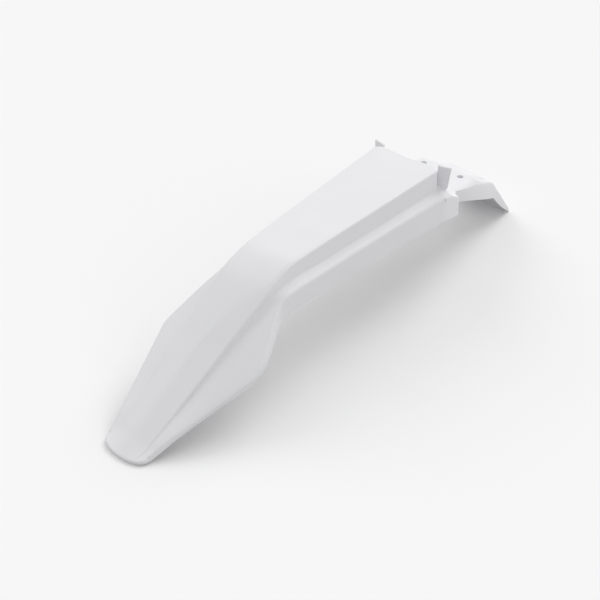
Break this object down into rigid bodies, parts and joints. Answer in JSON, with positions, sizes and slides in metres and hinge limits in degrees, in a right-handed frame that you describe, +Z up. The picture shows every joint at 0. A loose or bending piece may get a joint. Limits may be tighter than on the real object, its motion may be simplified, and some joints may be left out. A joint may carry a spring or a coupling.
{
  "type": "motorcycle front mudguard",
  "caption": "Moulded front mudguard for an off-road motorcycle, with a raised panel, side skirts, a level mounting plate and a folded tail.",
  "frame": {"origin": "middle of the four bolt holes, on the upper face of the mounting plate", "axes": "+Z up, square to the mounting plate; +Y from the tip towards the tail; +X to the right seen from above with the tip towards -Y"},
  "size_m": [0.1542, 0.7426, 0.1659],
  "materials": {
    "shell": "smooth white moulded plastic with a soft sheen"
  },
  "bodies": {
    "root": {"mudguard": "shell"}
  },
  "joints": []
}
